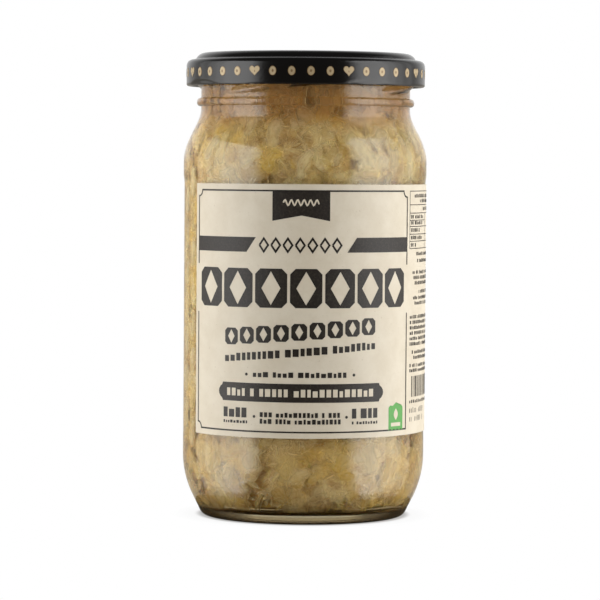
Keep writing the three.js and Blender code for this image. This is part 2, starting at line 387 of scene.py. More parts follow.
GLASS_TINT = (0.97, 0.98, 0.96, 1)
clear_glass = Finish("clear_glass", clear_sockets(GLASS_TINT, 1.5, 1.0))
glass_place = clear_glass.place()
glass_high = glass_place.part("Z")
glass_right = glass_place.part("X")
stipple = clear_glass.grain(glass_place, 1100, 2.0, 0.6)
corners = glass_right.size().between(12 * MM, 18 * MM)
clear_glass.bump(stipple * corners * (1 - glass_high.between(2.0 * MM, 4.0 * MM)), 0.2 * MM)
# The colour of the glass low on the jar is painted light and shade: a pale painted strip of light across the
# middle of the foot, where light comes up through the base, with dark painted shade above and below it and at
# its sides.
painted_light_strip = (1 - glass_high.between(2.9 * MM, 3.5 * MM)) * glass_high.between(0.8 * MM, 1.3 * MM) * (1 - corners)
painted_foot_light_and_shade = clear_glass.blend(painted_light_strip, (0.08, 0.06, 0.035, 1), (0.35, 0.29, 0.17, 1))
# Over the heel the glass takes a painted warm reflection of the brown cabbage, and towards its right side a
# painted brown shade.
painted_heel_shade = clear_glass.blend(glass_high.between(4.0 * MM, 6.0 * MM), (0.98, 0.94, 0.80, 1), GLASS_TINT)
painted_shade_corners = glass_right.between(19 * MM, 26 * MM) * (1 - glass_high.between(4.5 * MM, 7.5 * MM))
painted_heel_shade = clear_glass.blend(painted_shade_corners * 0.5, painted_heel_shade, (0.42, 0.31, 0.18, 1))
clear_glass.shade(base_color=clear_glass.blend(glass_high.between(3.2 * MM, 4.2 * MM), painted_foot_light_and_shade, painted_heel_shade))
wetted_glass = clear_glass.node("ShaderNodeBsdfPrincipled", {}, clear_sockets(GLASS_TINT, 1.5, 0.08))
wetness = clear_glass.node("ShaderNodeAttribute", {"attribute_name": "wet"}, {}, "Fac")
whole_glass = clear_glass.layered(wetness, clear_glass.shader, wetted_glass)
let_light_in(clear_glass, whole_glass, GLASS_TINT)
piece("glass_jar_blown", jar_shape, clear_glass, "glass", "glass_jar")

# The brine is the cabbage's own juice with salt, cloudy yellow, and it fills the jar round the cabbage to
# just under the cap. It wets the glass, so its surface reaches a little way into the wall.
BRINE_INTO_WALL = 0.2
BRINE_LEVEL_Z = 123.5
MENISCUS = 0.8

wetted = []
for before, point, after in zip(bore_line, bore_line[1:], bore_line[2:]):
    way = (after - before).normalized()
    if point.z < BRINE_LEVEL_Z * MM:
        wetted.append(point + Vector((-way.z, 0, way.x)) * BRINE_INTO_WALL * MM)
brine_line = (
    line((0, BRINE_LEVEL_Z), (MOUTH_R - 2, BRINE_LEVEL_Z), (MOUTH_R - 0.4, BRINE_LEVEL_Z + MENISCUS * 0.4))
    + line((MOUTH_R + BRINE_INTO_WALL, BRINE_LEVEL_Z + MENISCUS))
    + wetted
    + line((0, CROWN_Z - BRINE_INTO_WALL))
)
brine_shape = turned(brine_line)
wander(brine_shape, lambda r, z: z < WANDER_HIGH_Z * MM)
BRINE_TINT = (0.98, 0.83, 0.57, 1)
brine = Finish("brine", clear_sockets(BRINE_TINT, 1.34, 0.0))
let_light_in(brine, brine.shader, BRINE_TINT)
piece("brine", brine_shape, brine, "cabbage", "sauerkraut")

# The cabbage is cut, salted, soured and packed tight. Behind the shreds that show it is one dense mass,
# lumpy all over, from the floor of the jar to just under the surface of the brine.
FILL_LOW_Z = CROWN_Z + 0.6
FILL_HIGH_Z = 121.5
CORE_INSET = 2.6
BROWNED_AND_SHADED_LOW_Z = 104.5
BROWNED_AND_SHADED_HIGH_Z = 114.5

bore_heights = [point.z / MM for point in reversed(bore_line)]
bore_radii = [point.x / MM for point in reversed(bore_line)]


def bore(z):
    """The radius of the inside of the glass at a height, both in millimetres."""
    upper = min(max(bisect.bisect_left(bore_heights, z, 7), 8), len(bore_heights) - 1)
    low_z, high_z = bore_heights[upper - 1], bore_heights[upper]
    share = (z - low_z) / max(high_z - low_z, 1e-6)
    return bore_radii[upper - 1] + (bore_radii[upper] - bore_radii[upper - 1]) * share


core_side = [(bore(z) - CORE_INSET, z) for z in (FILL_LOW_Z + 0.6 + 1.5 * row for row in range(77))]
core_low = [(r, FILL_LOW_Z) for r in (0, 12, 22)]
core_shape = turned(line(*core_low, *core_side, (20, FILL_HIGH_Z), (0, FILL_HIGH_Z)), 120)
for vert in core_shape.verts:
    r = math.hypot(vert.co.x, vert.co.y)
    if r > 8 * MM:
        lump = noise.noise(vert.co * 160) * 0.9 + noise.noise(vert.co * 420) * 0.35
        vert.co = around(angle_of(vert.co), r + lump * MM, vert.co.z)


def mottled(finish, colour, strength=0.8):
    """The colour of the cabbage in soft golden and pale patches and brown patches of painted shade, with
    painted shade low down,
    and browner towards the cap: partly its own browning as it sours, partly painted shade under the cap.
    """
    place = finish.place()
    golden = finish.grain(finish.stretched(place, (1, 1, 1.2)), 72, 2.0).between(0.5, 0.66)
    # The shady patches are painted shade: brown patches scattered at random, standing for the shade between
    # the pieces.
    shady = finish.grain(finish.stretched(place, (1.1, 0.9, 1.5)), 100, 3.0, 0.6).between(0.5, 0.66)
    pale = finish.grain(finish.stretched(place, (0.9, 1.1, 1.1)), 85, 2.0).between(0.52, 0.68)
    colour = finish.blend(golden * strength, colour, (0.88, 0.70, 0.26, 1))
    colour = finish.blend(pale * strength, colour, (0.93, 0.90, 0.74, 1))
    colour = finish.blend(shady * strength * 0.8, colour, (0.40, 0.245, 0.12, 1))
    fine = finish.grain(finish.stretched(place, (1.1, 1.0, 1.3)), 1300, 3.0, 0.6)
    colour = finish.blend(fine.between(0.52, 0.68) * 0.4, colour, (0.38, 0.24, 0.11, 1))
    colour = finish.blend((1 - fine.between(0.32, 0.48)) * 0.45, colour, (0.97, 0.93, 0.78, 1))
    height = place.part("Z")
    # Low down the cabbage is painted darker brown: painted shade below the label's lower edge.
    colour = finish.blend((1 - height.between(20 * MM, 40 * MM)) * 0.25, colour, (0.37, 0.23, 0.11, 1))
    # Towards the cap the cabbage turns brown: partly its own browning as it sours, partly painted shade under
    # the cap.
    share = height.between(BROWNED_AND_SHADED_LOW_Z * MM, BROWNED_AND_SHADED_HIGH_Z * MM) * 0.85
    return finish.blend(share, colour, (0.41, 0.22, 0.09, 1))


packed = Finish("packed_cabbage", {
    "Roughness": 0.5, "IOR": 1.38, "Specular IOR Level": 0.15,
    "Subsurface Weight": 0.5, "Subsurface Radius": (1.0, 0.6, 0.2), "Subsurface Scale": 3.0 * MM,
})
packed_place = packed.place()
packed_strand = packed.grain(packed.stretched(packed_place, (1, 1, 2.6)), 420, 3.0, 0.6)
packed_shade = packed.grain(packed_place, 130, 2.0)
packed.shade(base_color=mottled(packed, packed.blend(
    packed_strand.between(0.35, 0.65) * 0.5 + packed_shade * 0.5,
    (0.46, 0.30, 0.12, 1), (0.76, 0.57, 0.29, 1),
)))
packed.bump(packed_strand, 0.4 * MM)
piece("cabbage_core", core_shape, packed, "cabbage", "sauerkraut")

# Each shred is a strip cut across a cabbage leaf, a millimetre or two wide, limp and half clear after the
# souring. Pale ribs, thin white strips, scraps of leaf and yellow outer leaves lie pressed on the glass.
SHRED_LOW_Z = FLOOR_Z + 1.0
SHRED_HIGH_Z = 121.0
SPOT_DEPTH = 0.3
LEAST_CURL = 1e-4
# The first four are ranges in millimetres, the others how much the strips of a kind bend.
Kind = namedtuple("Kind", "length width thick depth curl twist tilt wave ripple")


def strip_shape(name, steps, rows):
    """A flat strip of unit length, width and thickness, thinner at its long edges, with a UV map along it."""
    shape = bmesh.new()
    shape.loops.layers.uv.new("along")
    bmesh.ops.create_grid(shape, x_segments=steps, y_segments=rows, size=0.5, calc_uvs=True)
    bmesh.ops.solidify(shape, geom=shape.faces[:], thickness=1)
    middle = sum(vert.co.z for vert in shape.verts) / len(shape.verts)
    for vert in shape.verts:
        vert.co.z = (vert.co.z - middle) * (1 - 2.2 * vert.co.y ** 2)
    bmesh.ops.recalc_face_normals(shape, faces=shape.faces)
    data = bpy.data.meshes.new(name)
    shape.to_mesh(data)
    shape.free()
    return data


def lay_strip(verts, tone, dice, kind, spot):
    """Bends one strip along its own winding way against the inside of the glass."""
    length, width, thick, depth = (dice.uniform(*limits) for limits in kind[:4])
    heading = dice.uniform(-math.pi / 2, math.pi / 2)
    curl = dice.gauss(0, kind.curl)
    twist = dice.gauss(0, kind.twist)
    tilt = dice.gauss(0, kind.tilt)
    wave, phase = dice.uniform(0, kind.wave), dice.uniform(0, math.tau)
    taper = dice.uniform(0.1, 0.7)
    middle_angle = dice.uniform(0, math.tau)
    middle_z = dice.uniform(SHRED_LOW_Z, SHRED_HIGH_Z)
    if spot:
        middle_angle, middle_z, heading = math.radians(spot[0]), spot[1], math.radians(spot[2])
        length, width = spot[3], spot[4]
        depth = SPOT_DEPTH
    mark = (dice.random(), dice.random(), dice.random(), 1)
    clearance = kind.depth[0] + dice.uniform(0, 0.4)
    if abs(curl) < LEAST_CURL:
        curl = LEAST_CURL
    for vert in verts:
        x, y, out = vert.co
        along = x * length
        turn = heading + curl * along
        side = (math.sin(turn) - math.sin(heading)) / curl
        rise = (math.cos(heading) - math.cos(turn)) / curl
        narrow = (1 - taper * (2 * abs(x)) ** 4) * (1 + 0.22 * math.sin(3 * phase + along * 1.4))
        lean = tilt + twist * x
        ripple = wave * math.sin(phase + along * 0.7 + y * kind.ripple)
        across = y * width * narrow * math.cos(lean)
        deep = depth + y * width * narrow * math.sin(lean) - out * thick + ripple
        z = middle_z + rise + across * math.cos(turn)
        z = min(max(z, SHRED_LOW_Z - 0.4), SHRED_HIGH_Z + 0.6)
        lie = bore(z) - max(deep, clearance - 0.12 * out)
        angle = middle_angle + (side - across * math.sin(turn)) / max(lie, 8)
        vert.co = around(angle, lie * MM, z * MM)
        vert[tone] = mark


def heap(name, strip, count, seed, kind, finish, spots=()):
    """Many strips as one mesh. Spots place the first of them: turn, height, heading, length and width."""
    dice = random.Random(seed)
    shape = bmesh.new()
    for _ in range(count):
        shape.from_mesh(strip)
    tone = shape.verts.layers.float_color.new("tone")
    verts = shape.verts[:]
    size = len(strip.vertices)
    for number in range(count):
        spot = spots[number] if number < len(spots) else None
        lay_strip(verts[number * size:(number + 1) * size], tone, dice, kind, spot)
    piece(name, shape, finish, "cabbage", "sauerkraut", sharp=60)


def cabbage_finish(name, dark, light, yellow, fibres, body, edge, rim=0.0, mottling=0.8):
    """Soured cabbage: streaked along its fibres, clearer towards its edges, each strip a little different."""
    finish = Finish(name, {
        "Roughness": 0.42, "IOR": 1.38, "Specular IOR Level": 0.15,
        "Subsurface Weight": 0.15, "Subsurface Radius": (1.0, 0.7, 0.3), "Subsurface Scale": 1.2 * MM,
    })
    mark = finish.node("ShaderNodeAttribute", {"attribute_name": "tone"}, {})
    red = finish.node("ShaderNodeSeparateColor", {}, {"Color": mark})
    green = finish.node("ShaderNodeSeparateColor", {}, {"Color": mark}, "Green")
    lengthways = finish.node("ShaderNodeUVMap", {"uv_map": "along"}, {})
    streaks = finish.grain(finish.stretched(lengthways, (2.5, fibres, 1)), 1.0, 3.0, 0.6)
    base = finish.blend(red * 0.6 + streaks.between(0.3, 0.7) * 0.4, dark, light)
    from_side = 0.5 - (lengthways.part("Y") - 0.5).size()
    from_end = (0.5 - (lengthways.part("X") - 0.5).size()).between(0.0, edge * 0.5)
    lip = (1 - from_side.between(0.02, 0.16)) * rim
    colour = mottled(finish, finish.blend(green.between(0.5, 1.0) * 0.5, base, yellow), mottling)
    finish.shade(base_color=finish.blend(lip, colour, light))
    see = from_side.between(0.0, edge) * (streaks.between(0.2, 0.7) * 0.3 + 0.7) * body
    finish.shade(alpha=from_end * (see + lip))
    finish.bump(streaks, 0.12 * MM)
    return finish


thin_strip = strip_shape("thin_strip", 12, 1)
wide_strip = strip_shape("wide_strip", 10, 3)
short_strip = strip_shape("short_strip", 7, 1)

leaf_cabbage = cabbage_finish(
    "leaf_cabbage", (0.66, 0.50, 0.28, 1), (0.90, 0.80, 0.55, 1), (0.84, 0.66, 0.24, 1), 8, 0.6, 0.35, 0.2,
)
pale_cabbage = cabbage_finish(
    "pale_cabbage", (0.70, 0.57, 0.36, 1), (0.95, 0.89, 0.70, 1), (0.88, 0.74, 0.36, 1), 7, 0.6, 0.25, 0.6,
)
golden_cabbage = cabbage_finish(
    "golden_cabbage", (0.60, 0.46, 0.22, 1), (0.86, 0.75, 0.40, 1), (0.86, 0.67, 0.22, 1), 9, 0.6, 0.25, 0.5,
)
pulp_cabbage = cabbage_finish(
    "pulp_cabbage", (0.74, 0.61, 0.38, 1), (0.94, 0.87, 0.66, 1), (0.84, 0.74, 0.30, 1), 6, 0.32, 0.45,
)
strand_cabbage = cabbage_finish(
    "strand_cabbage", (0.88, 0.78, 0.54, 1), (1.0, 0.98, 0.90, 1), (0.92, 0.82, 0.42, 1), 3, 0.75, 0.2,
)
dark_cabbage = cabbage_finish(
    "dark_cabbage", (0.20, 0.12, 0.04, 1), (0.40, 0.26, 0.11, 1), (0.40, 0.26, 0.09, 1), 4, 0.75, 0.25,
)
heap("cabbage_leaf_pieces", wide_strip, 760, 37, Kind(
    (5, 13), (4.0, 9.0), (0.3, 0.5), (0.6, 2.2), 0.06, 0.5, 0.14, 0.6, 3.0,
), leaf_cabbage, [(14.5, 17.5, 60, 9, 6.5), (9, 106, 20, 13, 8), (-4, 100, -30, 12, 8), (-26, 97, 10, 10, 7)])
heap("cabbage_pale_shreds", thin_strip, 1500, 11, Kind(
    (3, 11), (0.6, 2.2), (0.3, 0.6), (0.5, 2.0), 0.16, 1.0, 0.4, 0.5, 0.5,
), pale_cabbage)
heap("cabbage_golden_shreds", thin_strip, 500, 23, Kind(
    (3, 10), (0.6, 2.0), (0.3, 0.6), (0.6, 2.0), 0.18, 1.0, 0.5, 0.6, 0.5,
), golden_cabbage)
heap("cabbage_pulp", wide_strip, 420, 67, Kind(
    (6, 14), (5, 11), (0.2, 0.3), (0.35, 1.2), 0.05, 0.2, 0.06, 0.3, 2.0,
), pulp_cabbage)
heap("cabbage_strands", short_strip, 2300, 41, Kind(
    (0.8, 3.6), (0.18, 0.45), (0.15, 0.3), (0.25, 0.7), 0.22, 1.2, 0.6, 0.4, 0.5,
), strand_cabbage)
pale_leaf = cabbage_finish(
    "pale_leaf", (0.84, 0.78, 0.62, 1), (1.0, 0.97, 0.86, 1), (0.92, 0.86, 0.60, 1), 5, 0.7, 0.4, 0.12, 0.35,
)
golden_leaf = cabbage_finish(
    "golden_leaf", (0.74, 0.60, 0.26, 1), (0.90, 0.77, 0.38, 1), (0.90, 0.70, 0.22, 1),
    5, 0.55, 0.45, 0.1, 0.4,
)
heap("cabbage_pale_leaves", wide_strip, 130, 83, Kind(
    (5, 11), (3, 7), (0.2, 0.4), (0.32, 0.7), 0.08, 0.3, 0.05, 0.3, 2.0,
), pale_leaf, [
    (29.5, 102.5, -55, 13, 7), (40, 98.5, 40, 8, 6), (-28.5, 101.5, 20, 8, 6), (-42, 96.5, 10, 6, 4.5),
    (-55, 103, 60, 8, 4), (-27, 18.5, 70, 8, 6), (-13.7, 13.4, 50, 3.6, 1.6), (33.5, 20, 15, 9, 6.5),
    (25, 12.5, 80, 7, 5), (-41, 13, 65, 7, 4), (50, 14, 70, 8, 4), (-2, 14, 30, 7, 4), (50, 101, 75, 10, 6),
    (63, 100, 80, 10, 6), (42, 106, 30, 8, 5),
    *((-70 - 9 * (step % 2), 24 + 5 * step, 84, 9, 4) for step in range(15)),
])
heap("cabbage_golden_leaves", wide_strip, 70, 89, Kind(
    (5, 10), (3, 6), (0.2, 0.4), (0.35, 0.8), 0.08, 0.3, 0.05, 0.3, 2.0,
), golden_leaf, [
    (15.5, 101.5, 35, 11, 8), (-17, 100, 60, 9, 6), (18.5, 17.5, 60, 8, 6.5), (20, 14.5, 20, 4, 3),
    (46, 15, 80, 9, 5), (-50, 17, 70, 8, 5), (33, 96.5, 0, 8, 4),
])
heap("cabbage_dark_bits", short_strip, 420, 53, Kind(
    (1.5, 5), (0.12, 0.4), (0.2, 0.3), (0.3, 1.0), 0.3, 0.6, 0.3, 0.3, 0.5,
), dark_cabbage, [
    (2.6, 101.8, 0, 2.1, 1.8), (-21, 108.3, 60, 2.6, 0.7), (-23, 104.5, -20, 2.8, 0.6),
    (54, 106, 35, 2.4, 0.7), (-5, 31.5, 15, 3.5, 1.0), (3, 22.8, -20, 4, 0.9), (8, 22.5, 10, 3, 0.8),
])

# Bubbles of the gas that the souring gives off cling to the inside of the glass. The largest sit low at the
# heel, and clusters of tiny ones hang about the shoulder and above the foot.
BUBBLES = (
    (-34, 7.6, 0.5), (-27, 7.3, 0.45), (-20.5, 7.5, 0.55), (-16, 8.4, 0.35), (23.5, 7.4, 0.5),
    (31, 8.0, 0.35), (43.5, 8.2, 0.5), (47, 7.6, 0.4), (-48, 103, 0.4), (-58, 99, 0.45), (-30, 104, 0.35),
    (36, 101, 0.4), (41, 98, 0.35), (52, 103, 0.45), (-45, 16, 0.35), (38, 14, 0.35), (120, 8, 0.5),
    (165, 7.5, 0.45), (-150, 8, 0.5), (-110, 7.6, 0.4), (135, 100, 0.4), (-140, 102, 0.45),
)
CLUSTERS = (
    (-28.6, 101.9, 3.2, 16), (-51, 96.4, 2.0, 8), (-74, 104, 1.0, 4), (56.5, 101.5, 1.5, 6),
    (50, 104, 2.5, 6), (20, 98, 4.0, 8), (-8, 106, 5.0, 6), (-35, 20, 3.0, 6), (25, 19, 4.0, 8),
    (0, 12, 7.0, 8), (60, 18, 4.0, 6),
    (140, 100, 9.0, 20), (-130, 99, 9.0, 20), (180, 14, 9.0, 14),
)
bubble_dice = random.Random(71)
bubbles = list(BUBBLES)
for turn, z, spread, count in CLUSTERS:
    for _ in range(count):
        aside = math.degrees(bubble_dice.gauss(0, spread) / bore(z))
        rise = bubble_dice.gauss(0, spread * 0.7)
        bubbles.append((turn + aside, z + rise, bubble_dice.uniform(0.12, 0.26)))
bubble_shape = bmesh.new()
for turn, z, radius in bubbles:
    middle = around(math.radians(turn), (bore(z) - radius - 0.15) * MM, z * MM)
    bmesh.ops.create_icosphere(
        bubble_shape, subdivisions=3, radius=radius * MM, matrix=Matrix.Translation(middle),
    )
bubble_gas = Finish("bubble_gas", {
    **clear_sockets((1, 1, 1, 1), 0.76, 1.0), "Coat Weight": 1.0, "Coat IOR": 2.4, "Coat Roughness": 0.0,
})
let_light_in(bubble_gas, bubble_gas.shader, (1, 1, 1, 1))
piece("brine_bubbles", bubble_shape, bubble_gas, "cabbage", "sauerkraut")

# The cap is pressed from one tinplate sheet and lacquered black. Its curled lower edge is pushed in at four
# lugs that grip the thread, and a row of gold dots and hearts is printed round the skirt.
CAP_R = 33.6
CAP_TOP_Z = 130.1
CAP_LOW_Z = 120.75
CAP_SHOULDER_Z = 128.25
CAP_CORNER = 2
STEP_R = 30.9
RING_OUT_R = 28.4
RING_IN_R = 25.2
RING_SLOPE = 1.9
PANEL_SUNK = 1.1
BUTTON_R = 12
BUTTON_RISE = 0.4
SHEET = 0.35
CURL_R = 0.62
LUGS = 4
LUG_FIRST = math.radians(-59)
LUG_HALF = math.radians(15)
LUG_PRESS = 0.38
LUG_ARCH = 1.8
LUG_EDGE = 0.8
CAP_PANEL_Z = CAP_TOP_Z - PANEL_SUNK
BUTTON_Z = CAP_PANEL_Z + BUTTON_RISE
BUTTON_EDGE = (BUTTON_R - 0.4, BUTTON_Z - BUTTON_RISE / 2)
RING_EDGE = (RING_IN_R - 1.2, CAP_TOP_Z - 0.5)
STEP_EDGE = (STEP_R, CAP_SHOULDER_Z + 0.25)


def smooth_step(value, low, high):
    share = min(max((value - low) / (high - low), 0), 1)
    return share * share * (3 - 2 * share)


def lug_press(angle, z):
    """How far a lug pushes the curled edge in, below an arch, at an angle and a height in millimetres."""
    pitch = math.tau / LUGS
    away = abs((angle - LUG_FIRST + pitch / 2) % pitch - pitch / 2) / LUG_HALF
    arch = CAP_LOW_Z + LUG_ARCH * (1 - away ** 2)
    return LUG_PRESS * smooth_step(arch - z, 0, LUG_EDGE) * (1 - smooth_step(away, 0.7, 1.0))


curl_centre_r = CAP_R - CURL_R
curl_centre_z = CAP_LOW_Z + CURL_R
curl = [
    (curl_centre_r + CURL_R * math.cos(turn), curl_centre_z - CURL_R * math.sin(turn))
    for turn in (math.pi * step / 8 for step in range(15))
]
skirt_rows = [(CAP_R, CAP_LOW_Z + CURL_R * (4.2 - 0.2 * row)) for row in range(16)]
skirt_back = [(CAP_R - SHEET, z) for _, z in reversed(skirt_rows[:8:2])]
cap_line = (
    line((0, BUTTON_Z))
    + corner((BUTTON_R - 2.2, BUTTON_Z), (BUTTON_R - 1, BUTTON_Z), BUTTON_EDGE, 5)
    + corner(BUTTON_EDGE, (BUTTON_R, CAP_PANEL_Z), (BUTTON_R + 1.2, CAP_PANEL_Z), 5)
    + corner((RING_IN_R - 3, CAP_PANEL_Z), (RING_IN_R - RING_SLOPE, CAP_PANEL_Z), RING_EDGE, 6)
    + corner(RING_EDGE, (RING_IN_R - 0.7, CAP_TOP_Z), (RING_IN_R + 0.4, CAP_TOP_Z), 6)
    + bend(
        (RING_OUT_R, CAP_TOP_Z), (RING_OUT_R + 1.2, CAP_TOP_Z),
        (STEP_R - 0.4, CAP_SHOULDER_Z + 1.1), STEP_EDGE, 10,
    )
    + corner(STEP_EDGE, (STEP_R + 0.1, CAP_SHOULDER_Z), (STEP_R + 0.5, CAP_SHOULDER_Z), 5)
    + bend(
        (STEP_R + 0.9, CAP_SHOULDER_Z - 0.03), (STEP_R + 1.9, CAP_SHOULDER_Z - 0.1),
        (CAP_R, CAP_SHOULDER_Z - 0.6), (CAP_R, CAP_SHOULDER_Z - CAP_CORNER), 10,
    )
    + line((CAP_R, CAP_SHOULDER_Z - 3.2), *skirt_rows, *curl, *skirt_back)
    + bend(
        (CAP_R - SHEET, CAP_SHOULDER_Z - CAP_CORNER), (CAP_R - SHEET, CAP_SHOULDER_Z - 0.9),
        (STEP_R + 1.9, CAP_SHOULDER_Z - SHEET), (STEP_R + 0.3, CAP_SHOULDER_Z - SHEET), 6,
    )
    + line((STEP_R - SHEET, CAP_SHOULDER_Z - SHEET), (RING_OUT_R + 0.5, CAP_TOP_Z - SHEET))
    + line((RING_IN_R, CAP_TOP_Z - SHEET), (RING_IN_R - 1.6, CAP_PANEL_Z - SHEET), (0, CAP_PANEL_Z - SHEET))
)
cap_shape = turned(cap_line, 192)
for vert in cap_shape.verts:
    r = math.hypot(vert.co.x, vert.co.y)
    if r > STEP_R * MM:
        angle = angle_of(vert.co)
        vert.co = around(angle, r - lug_press(angle, vert.co.z / MM) * MM, vert.co.z)

lacquer = Finish("black_lacquer", {"IOR": 1.5, "Specular IOR Level": 0.48})
lacquer_place = lacquer.place()
orange_peel = lacquer.grain(lacquer_place, 900, 1.0)
smears = lacquer.grain(lacquer.stretched(lacquer_place, (1, 1, 3)), 90, 3.0, 0.6)
scuffs = lacquer.grain(lacquer.stretched(lacquer_place, (1, 1, 8)), 700, 2.0, 0.7).between(0.66, 0.8)
lacquer.shade(
    base_color=lacquer.blend(scuffs * 0.35, (0.0025, 0.0017, 0.0012, 1), (0.02, 0.018, 0.016, 1)),
    roughness=0.12 + smears * 0.1 + scuffs * 0.12,
)
lacquer.bump(orange_peel, 0.012 * MM)
piece("cap_pressed", cap_shape, lacquer, "cap_lacquer", "cap", sharp=70)

# The print on the skirt is gold ink, baked on the black lacquer before the cap was pressed: hearts with four
# dots between them, each with a thin brown rim and a small brown centre.
MOTIFS = 40
HEART_EVERY = 5
FIRST_HEART = math.radians(-24.65)
PRINT_Z = 124.4
PRINT_LIFT = 0.015
DOT_HALF = (0.9, 1.15)
DOT_CENTRE_HALF = (0.32, 0.4)
RIM_BEYOND = 0.16
HEART_HALF = 1.45


def wrapped(shape, radius, thick, cut_every=1.5):
    """Bends flat shapes, drawn as distance round and height in millimetres, onto a cylinder as a film."""
    bmesh.ops.triangulate(shape, faces=[face for face in shape.faces if len(face.verts) > 4])
    low = min(vert.co.x for vert in shape.verts)
    high = max(vert.co.x for vert in shape.verts)
    for step in range(1, int((high - low) / cut_every) + 1):
        everything = shape.verts[:] + shape.edges[:] + shape.faces[:]
        bmesh.ops.bisect_plane(
            shape, geom=everything, dist=0.001, plane_co=(low + step * cut_every, 0, 0), plane_no=(1, 0, 0),
        )
    for vert in shape.verts:
        vert.co = around(vert.co.x / radius, radius * MM, vert.co.y * MM)
    bmesh.ops.recalc_face_normals(shape, faces=shape.faces)
    inward = [face for face in shape.faces if face.normal.dot(Vector((*face.calc_center_median().xy, 0))) < 0]
    bmesh.ops.reverse_faces(shape, faces=inward)
    bmesh.ops.solidify(shape, geom=shape.faces[:], thickness=-thick * MM)
    bmesh.ops.recalc_face_normals(shape, faces=shape.faces)
    return shape


def flat(shape, points):
    """One flat outline."""
    return shape.faces.new([shape.verts.new((x, y, 0)) for x, y in points])


def disc(shape, x, y, half_width, half_height, sides=20):
    spread = Matrix.Diagonal((half_width, half_height, 1, 1))
    bmesh.ops.create_circle(
        shape, cap_ends=True, segments=sides, radius=1, matrix=Matrix.Translation((x, y, 0)) @ spread,
    )


def heart(shape, x, y, half):
    """A plain heart, from the usual curve of sines and cosines."""
    points = []
    for step in range(28):
        turn = math.tau * step / 28
        width = math.sin(turn) ** 3
        height = 13 * math.cos(turn) - 5 * math.cos(2 * turn) - 2 * math.cos(3 * turn) - math.cos(4 * turn)
        points.append((x + width * half, y + (height / 16 + 0.12) * half))
    flat(shape, points)


gold_shape = bmesh.new()
centre_shape = bmesh.new()
rim_shape = bmesh.new()
for number in range(MOTIFS):
    across = (FIRST_HEART + number * math.tau / MOTIFS) * CAP_R
    if number % HEART_EVERY:
        disc(gold_shape, across, PRINT_Z, *DOT_HALF)
        disc(centre_shape, across, PRINT_Z, *DOT_CENTRE_HALF, 12)
        disc(rim_shape, across, PRINT_Z, *(half + RIM_BEYOND for half in DOT_HALF))
    else:
        heart(gold_shape, across, PRINT_Z, HEART_HALF)
        disc(centre_shape, across, PRINT_Z - 0.1, 0.16, 0.3, 12)
        heart(rim_shape, across, PRINT_Z, HEART_HALF + RIM_BEYOND)

gold_ink = Finish("gold_ink", {"Metallic": 0.25, "IOR": 1.5})
gold_grain = gold_ink.grain(gold_ink.place(), 2600, 2.0, 0.6)
gold_ink.shade(
    base_color=gold_ink.blend(gold_grain, (0.36, 0.27, 0.15, 1), (0.54, 0.43, 0.26, 1)),
    roughness=0.38 + gold_grain * 0.15,
)
gold_ink.bump(gold_grain, 0.01 * MM)
brown_ink = Finish("brown_ink", {"IOR": 1.5})
brown_grain = brown_ink.grain(brown_ink.place(), 2200, 2.0)
brown_ink.shade(
    base_color=brown_ink.blend(brown_grain, (0.16, 0.09, 0.035, 1), (0.24, 0.15, 0.06, 1)),
    roughness=0.4 + brown_grain * 0.1,
)
piece("cap_print_rims", wrapped(rim_shape, CAP_R + PRINT_LIFT, 0.01), brown_ink, "cap_lacquer", "cap")
piece("cap_gold_print", wrapped(gold_shape, CAP_R + 2 * PRINT_LIFT, 0.01), gold_ink, "cap_lacquer", "cap")
piece("cap_dot_centres", wrapped(centre_shape, CAP_R + 3 * PRINT_LIFT, 0.01), brown_ink, "cap_lacquer", "cap")

# The label is one strip of uncoated cream paper, about the sixth of a millimetre thick. A machine glued it
# round the sunk panel of the glass and left a gap between its ends at the back.
LABEL_LOW_Z = 24.3
LABEL_HIGH_Z = 93.6
LABEL_START = -60.5
LABEL_SPAN = 282
LABEL_IN_R = 34.12
LABEL_THICK = 0.15
LABEL_OUT_R = LABEL_IN_R + LABEL_THICK

label_shape = bmesh.new()
label_left = math.radians(LABEL_START) * LABEL_OUT_R
label_right = label_left + math.radians(LABEL_SPAN) * LABEL_OUT_R
flat(label_shape, [
    (label_left, LABEL_LOW_Z), (label_right, LABEL_LOW_Z),
    (label_right, LABEL_HIGH_Z), (label_left, LABEL_HIGH_Z),
])
paper = Finish("cream_paper", {"IOR": 1.45, "Specular IOR Level": 0.6})
paper_place = paper.place()
fibres = paper.grain(paper_place, 1500, 4.0, 0.65)
mottle = paper.grain(paper_place, 160, 3.0, 0.6)
flecks = paper.grain(paper_place, 2100, 1.0).between(0.72, 0.8)
cream = paper.blend(
    mottle.between(0.3, 0.7) * 0.5 + fibres * 0.5, (0.62, 0.543, 0.415, 1), (0.715, 0.648, 0.525, 1),
)
paper.shade(
    base_color=paper.blend(flecks * 0.5, cream, (0.36, 0.27, 0.17, 1)),
    roughness=0.5 + fibres * 0.12,
)
paper.bump(fibres, 0.03 * MM)
piece("label_paper", wrapped(label_shape, LABEL_IN_R, LABEL_THICK, 2.0), paper, "label_paper", "label")

